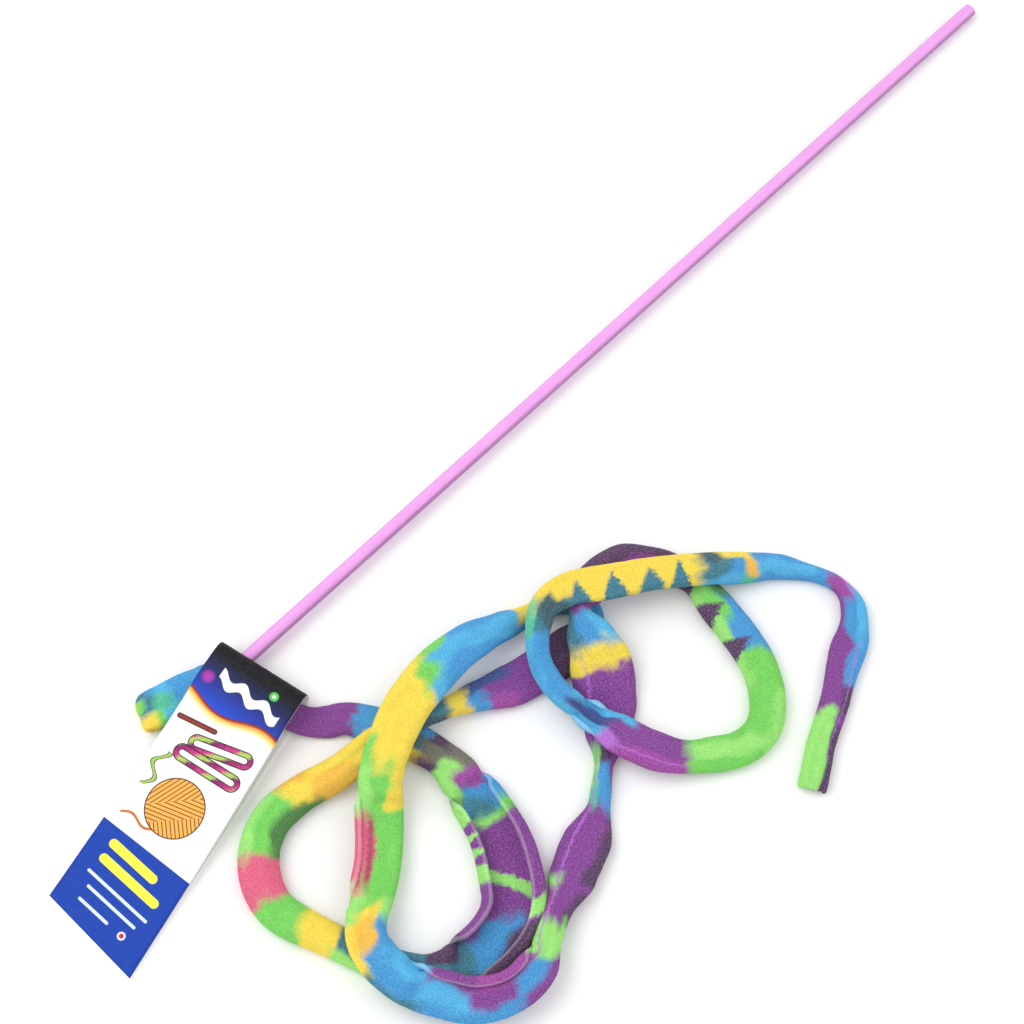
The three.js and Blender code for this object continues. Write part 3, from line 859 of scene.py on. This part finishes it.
def printed_card_material():
    """The print. x runs across the card from its left edge, and y from the top of the fold down the leaf."""
    sheet = Sheet("printed_card")
    u, v = sheet.map("card")
    x = u * CARD_MAP
    y = v * CARD_MAP - FOLD_RISE
    ink = sheet.noise(sheet.vector(x, y, 0.0), 0.55, 2.0, 0.5)
    grain = sheet.noise(sheet.vector(x, y, 3.0), 9.0, 3.0, 0.6)
    white = hue(0.965, 0.965, 0.96)
    # The header: black at the fold, then navy, then royal blue down to the wave.
    stops = [
        (0.0, hue(0.03, 0.03, 0.05)),
        (0.2, hue(0.05, 0.05, 0.09)),
        (0.48, hue(0.10, 0.15, 0.38)),
        (0.72, hue(0.12, 0.22, 0.62)),
        (1.0, hue(0.13, 0.30, 0.82)),
    ]
    slope = y - x * 0.045
    blue = sheet.node("ShaderNodeValToRGB", {"stops": stops}, (slope / HEADER_INK_END,))
    blue = sheet.mix(spot_mask(x, y, *GLOW, 2.2, 1.2) * 0.9, blue, hue(0.70, 0.20, 0.68))
    swing = ((x - 5.0) / WAVE_LENGTH * math.tau).sin() * WAVE_SWING
    wave = y - WAVE_Y - swing - (x - 20.0) * 0.02
    bands = [
        (0.0, hue(0.42, 0.10, 0.16)),
        (0.16, hue(0.66, 0.24, 0.15)),
        (0.34, hue(0.96, 0.66, 0.28)),
        (0.6, hue(0.99, 0.87, 0.55)),
        (1.0, white),
    ]
    rainbow = sheet.node("ShaderNodeValToRGB", {"stops": bands}, (wave / WAVE_BAND,))
    colour = sheet.mix(wave.above(0.0, 0.25), blue, rainbow)
    # A plain wavy band in place of the header's words.
    ripple = (x * 0.58).sin() * 1.5
    line = (y - RIPPLE_Y - ripple - x * 0.11).abs().below(RIPPLE_HALF, 0.2)
    line = line * x.above(RIPPLE_LEFT, 0.3) * x.below(RIPPLE_RIGHT, 0.3)
    colour = sheet.mix(line, colour, white)
    colour = sheet.mix(spot_mask(x, y, *DOT, 1.9), colour, hue(0.35, 0.75, 0.32))
    colour = sheet.mix(spot_mask(x, y, *DOT, 0.8), colour, hue(0.85, 1.0, 0.8))
    # Two plain long loops, dark at their rims, with a short stroke and a trail.
    stripes = [
        (0.0, hue(0.62, 0.14, 0.42)),
        (0.3, hue(0.80, 0.25, 0.52)),
        (0.5, hue(0.66, 0.80, 0.35)),
        (0.62, hue(0.66, 0.80, 0.35)),
        (0.8, hue(0.50, 0.12, 0.40)),
        (1.0, hue(0.62, 0.14, 0.42)),
    ]
    striped = (x / 13.0 + y / 9.0 + ink * 0.4).repeat()
    dyes = sheet.node("ShaderNodeValToRGB", {"stops": stripes}, (striped,))
    dark_ink = hue(0.16, 0.04, 0.12)
    for cx, cy, half, high, turn in LOOPS:
        for outer, inner, paint in ((0.0, 2.6, dark_ink), (0.45, 2.2, dyes)):
            band = bar(x, y, cx, cy, half - outer, high - outer, turn)
            band = band.min(1.0 - bar(x, y, cx, cy, half - inner, high - inner, turn))
            colour = sheet.mix(band, colour, paint)
    for half, high, paint in ((9.0, 1.1, dark_ink), (8.6, 0.7, hue(0.55, 0.20, 0.16))):
        colour = sheet.mix(bar(x, y, *STROKE, half, high, STROKE_TURN), colour, paint)
    trail = (x - TRAIL_X - (y * 0.55).sin() * 2.2).abs()
    trail_end = y.above(TRAIL_TOP, 0.3) * y.below(TRAIL_END, 0.3)
    for half, paint in ((1.1, dark_ink), (0.7, hue(0.62, 0.78, 0.34))):
        colour = sheet.mix(trail.below(half, 0.15) * trail_end, colour, paint)
    # A ball of yarn: an orange disc with strands wound three ways and a loose end.
    wound = hue(0.98, 0.70, 0.32)
    for turn, low, high in WINDINGS:
        c, s = math.cos(math.radians(turn)), math.sin(math.radians(turn))
        run = (x - BALL[0]) * c + (y - BALL[1]) * s
        zone = (x - BALL[0]) * 0.6 + (y - BALL[1]) * 0.8
        strand = ((run * 0.62).repeat() - 0.5).abs().below(0.13, 0.06)
        strand = strand * zone.above(low, 0.2) * zone.below(high, 0.2)
        wound = sheet.mix(strand, wound, hue(0.45, 0.22, 0.10))
    loose = (y - YARN_END_Y - ((x - 12.0) * 0.45).sin() * 1.2).abs().below(0.6, 0.15)
    loose = loose * x.above(YARN_LEFT, 0.3) * x.below(YARN_RIGHT, 0.3)
    colour = sheet.mix(loose, colour, hue(0.80, 0.45, 0.18))
    colour = sheet.mix(spot_mask(x, y, *BALL, BALL_RADIUS, 0.15), colour, wound)
    inside = spot_mask(x, y, *BALL, BALL_RADIUS - 0.25)
    rim = spot_mask(x, y, *BALL, BALL_RADIUS + 0.25).min(1.0 - inside)
    colour = sheet.mix(rim, colour, hue(0.35, 0.16, 0.08))
    # The blue block at the free end, with slanted plain bars.
    block = (y - BLOCK_Y - x * BLOCK_SLOPE).above(0.0, 0.15)
    colour = sheet.mix(block, colour, hue(0.02, 0.24, 0.66))
    for bx, by, half in BROAD_BARS:
        colour = sheet.mix(bar(x, y, bx, by, half, 1.9, BAR_TURN), colour, hue(0.97, 0.93, 0.28))
    for bx, by, half in THIN_BARS:
        colour = sheet.mix(bar(x, y, bx, by, half, 0.62, BAR_TURN), colour, hue(0.86, 0.92, 1.0))
    colour = sheet.mix(spot_mask(x, y, *RING, 1.7), colour, hue(0.90, 0.92, 0.95))
    colour = sheet.mix(spot_mask(x, y, *RING, 1.0), colour, hue(0.75, 0.18, 0.22))
    colour = sheet.mix((ink - 0.5).above(0.0, 0.3) * 0.05, colour, hue(0.5, 0.5, 0.52))
    rough = 0.5 + grain * 0.12
    normal = sheet.bump(grain * 0.6 + ink * 0.6, 0.1, 0.0003)
    constants = {"Specular IOR Level": 0.22}
    return sheet.finish(constants, {"Base Color": colour, "Roughness": rough, "Normal": normal})


def plain_card_material(name):
    sheet = Sheet(name)
    place = sheet.place()
    pulp = sheet.noise(place, 900.0, 4.0, 0.65)
    cloud = sheet.noise(place, 45.0, 3.0, 0.5)
    colour = sheet.mix(pulp.above(0.5, 0.25) * 0.2, hue(0.95, 0.95, 0.94), hue(0.86, 0.86, 0.84))
    colour = sheet.mix(cloud.above(0.5, 0.3) * 0.12, colour, hue(0.88, 0.87, 0.83))
    fields = {"Base Color": colour, "Roughness": 0.5 + pulp * 0.2, "Normal": sheet.bump(pulp, 0.15, 0.0002)}
    return sheet.finish({"Specular IOR Level": 0.35}, fields)


def sleeve_material():
    sheet = Sheet("shrunk_sleeve")
    place = sheet.place()
    x, y, z = sheet.split(place)
    ripple = sheet.noise(sheet.vector(x * 700.0, y * 120.0, z * 120.0), 1.0, 3.0, 0.6)
    mottle = sheet.noise(place, 300.0, 3.0, 0.6)
    colour = sheet.mix(mottle * 0.3, hue(0.93, 0.93, 0.91), hue(0.78, 0.78, 0.77))
    normal = sheet.bump(ripple, 0.3, 0.0004)
    return sheet.finish({}, {"Base Color": colour, "Roughness": 0.4 + ripple * 0.2, "Normal": normal})


def tape_material():
    sheet = Sheet("double_sided_tape")
    place = sheet.place()
    fibre = sheet.noise(place, 1200.0, 4.0, 0.7)
    colour = sheet.mix(fibre * 0.4, hue(0.95, 0.92, 0.82), hue(0.82, 0.78, 0.66))
    normal = sheet.bump(fibre, 0.3, 0.0003)
    return sheet.finish({}, {"Base Color": colour, "Roughness": 0.6 + fibre * 0.2, "Normal": normal})


def set_material(node, material):
    """Gives a carried-over CAD node its material, in the object's own slots."""
    for place in frame["nodes"][node].material_slots:
        place.material = material


# ------------------------ settings and operators


class WandSettings(bpy.types.PropertyGroup):
    card_thickness: FloatProperty(
        name="Card",
        description="Thickness of the tag's card",
        default=0.00045,
        min=0.0002,
        max=0.0008,
        unit="LENGTH",
    )
    floor_shade: FloatVectorProperty(
        name="Floor", description="Colour of the floor", default=(0.93, 0.93, 0.93), subtype="COLOR", size=3
    )
    key_power: FloatProperty(
        name="Key light", description="Power of the large soft light", default=9.0, min=0.0, unit="POWER"
    )
    fill_power: FloatProperty(
        name="Fill light", description="Power of the low soft light", default=3.5, min=0.0, unit="POWER"
    )
    sky_strength: FloatProperty(
        name="Sky", description="Strength of the white light from all round", default=0.92, min=0.0
    )


class StageOperator(bpy.types.Operator):
    """Make the camera, the floor and the soft studio light"""

    bl_idname = "wand.stage"
    bl_label = "Stage"

    def execute(self, context):
        settings = context.scene.wand
        make_camera()
        make_floor(settings.floor_shade)
        make_lights(settings.key_power, settings.fill_power)
        make_sky(settings.sky_strength)
        return {"FINISHED"}


class RodOperator(bpy.types.Operator):
    """Finish the plastic rod"""

    bl_idname = "wand.rod"
    bl_label = "Rod"

    def execute(self, context):
        set_material("wand_rod", rod_material())
        return {"FINISHED"}


class RibbonOperator(bpy.types.Operator):
    """Lay the long dyed fleece ribbon"""

    bl_idname = "wand.ribbon"
    bl_label = "Long ribbon"

    def execute(self, context):
        points = [Vector((x, y, layer * LAYER)) for x, y, layer in RIBBON_ROUTE]
        ribbon, length = strip_piece(
            "fleece_ribbon", points, RIBBON_SHAPE, RIBBON_STEPS, RIBBON_CELLS, RIBBON_HIDDEN, seed=1.0
        )
        ribbon.data.materials.append(ribbon_material(length))
        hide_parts("ribbon_long", "ribbon_root")
        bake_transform(ribbon)
        length * MM
        return {"FINISHED"}


class TailOperator(bpy.types.Operator):
    """Lay the ribbon's short tail on the other side of the tag"""

    bl_idname = "wand.tail"
    bl_label = "Short tail"

    def execute(self, context):
        points = [from_tag(x, y, z) for x, y, z in TAIL_ROUTE]
        ahead = points[4] - points[2]
        across = Vector((-ahead.y, ahead.x, 0.0)).normalized()
        tail, length = strip_piece(
            "fleece_tail", points, TAIL_SHAPE, TAIL_STEPS, TAIL_CELLS, TAIL_HIDDEN, seed=11.0, side=across
        )
        tail.data.materials.append(Fleece("dyed_tail", TAIL_BANDS, length).finish())
        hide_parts("ribbon_short_tail")
        in_scene(-9, -14, 11)
        in_scene(-15, -14, 11)
        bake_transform(tail)
        length * MM
        return {"FINISHED"}


class TagOperator(bpy.types.Operator):
    """Make the folded card tag"""

    bl_idname = "wand.tag"
    bl_label = "Hang tag"

    def execute(self, context):
        card = make_front_card(context.scene.wand.card_thickness)
        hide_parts("tag_header", "tag_front_leaf")
        in_scene(15, -22, 10)
        in_scene(15, -31, 10)
        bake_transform(card)
        set_material("tag_back_leaf", plain_card_material("plain_card_back"))
        return {"FINISHED"}


class BindingOperator(bpy.types.Operator):
    """Finish the hidden sleeve and the tape pad"""

    bl_idname = "wand.binding"
    bl_label = "Binding"

    def execute(self, context):
        set_material("binding_sleeve", sleeve_material())
        set_material("tape_pad", tape_material())
        return {"FINISHED"}


class WandPanel(bpy.types.Panel):
    bl_idname = "VIEW3D_PT_ribbon_wand"
    bl_label = "Ribbon Wand"
    bl_space_type = "VIEW_3D"
    bl_region_type = "UI"
    bl_category = "Ribbon Wand"

    def draw(self, context):
        settings = context.scene.wand
        for name in WandSettings.__annotations__:
            self.layout.prop(settings, name)
        for operator in OPERATORS:
            self.layout.operator(operator.bl_idname)


# ------------------------ stage

CAMERA_TARGET = Vector((-310.4, -27.7, 0.0))
CAMERA_DISTANCE = 1.105  # metres
CAMERA_HEIGHT_ANGLE = math.radians(69.0)
CAMERA_HEADING = math.radians(44.34)
CAMERA_LENS = 94.5
FLOOR_HALF = 6.0  # metres

# Each light's place from the object's middle, and its size, in metres.
LIGHTS_MIDDLE = Vector((-0.28, -0.05, 0.0))
KEY_LIGHT = (Vector((-0.55, 0.75, 1.25)), 1.1)
FILL_LIGHT = (Vector((0.9, -0.8, 1.0)), 1.4)


def make_camera():
    """Looks down at the object from the ribbon's side, with the rod running up to the right."""
    target = DATUM + CAMERA_TARGET * MM
    level = Vector((math.sin(CAMERA_HEADING), math.cos(CAMERA_HEADING), 0.0))
    ahead = level * math.cos(CAMERA_HEIGHT_ANGLE) - Vector((0, 0, math.sin(CAMERA_HEIGHT_ANGLE)))
    data = bpy.data.cameras.new("camera")
    data.lens = CAMERA_LENS
    data.clip_start = 0.05
    camera = bpy.data.objects.new("camera", data)
    camera.location = target - ahead * CAMERA_DISTANCE
    camera.rotation_euler = ahead.to_track_quat("-Z", "Y").to_euler()
    bpy.context.collection.objects.link(camera)
    bpy.context.scene.camera = camera


def make_floor(shade):
    bm = bmesh.new()
    bmesh.ops.create_grid(bm, x_segments=2, y_segments=2, size=FLOOR_HALF)
    sheet = Sheet("pale_floor")
    tone = sheet.noise(sheet.place(), 3.0, 2.0, 0.5)
    colour = sheet.mix(tone * 0.04, (*shade, 1.0), (0.88, 0.88, 0.89, 1.0))
    fields = {"Base Color": colour, "Roughness": 0.75 + tone * 0.05}
    floor = new_piece("floor", bm)
    floor.data.materials.append(sheet.finish({"Specular IOR Level": 0.2}, fields))


def make_lights(key_power, fill_power):
    for name, (place, size), power in (("key", KEY_LIGHT, key_power), ("fill", FILL_LIGHT, fill_power)):
        data = bpy.data.lights.new(name, "AREA")
        data.energy = power
        data.size = size
        lamp = bpy.data.objects.new(name, data)
        lamp.location = DATUM + LIGHTS_MIDDLE + place
        lamp.rotation_euler = (-place).to_track_quat("-Z", "Y").to_euler()
        bpy.context.collection.objects.link(lamp)


def make_sky(strength):
    world = bpy.data.worlds.new("studio")
    world.use_nodes = True
    background = world.node_tree.nodes["Background"]
    background.inputs["Color"].default_value = WHITE
    background.inputs["Strength"].default_value = strength
    bpy.context.scene.world = world
    bpy.context.scene.view_settings.view_transform = "Standard"


OPERATORS = (StageOperator, RodOperator, RibbonOperator, TailOperator, TagOperator, BindingOperator)


def register():
    bpy.utils.register_class(WandSettings)
    for operator in OPERATORS:
        bpy.utils.register_class(operator)
    bpy.utils.register_class(WandPanel)
    bpy.types.Scene.wand = PointerProperty(type=WandSettings)


def unregister():
    del bpy.types.Scene.wand
    bpy.utils.unregister_class(WandPanel)
    for operator in reversed(OPERATORS):
        bpy.utils.unregister_class(operator)
    bpy.utils.unregister_class(WandSettings)


def main():
    register()
    bpy.ops.wand.stage()
    bpy.ops.wand.rod()
    bpy.ops.wand.ribbon()
    bpy.ops.wand.tail()
    bpy.ops.wand.tag()
    bpy.ops.wand.binding()


if __name__ == "__main__":
    main()
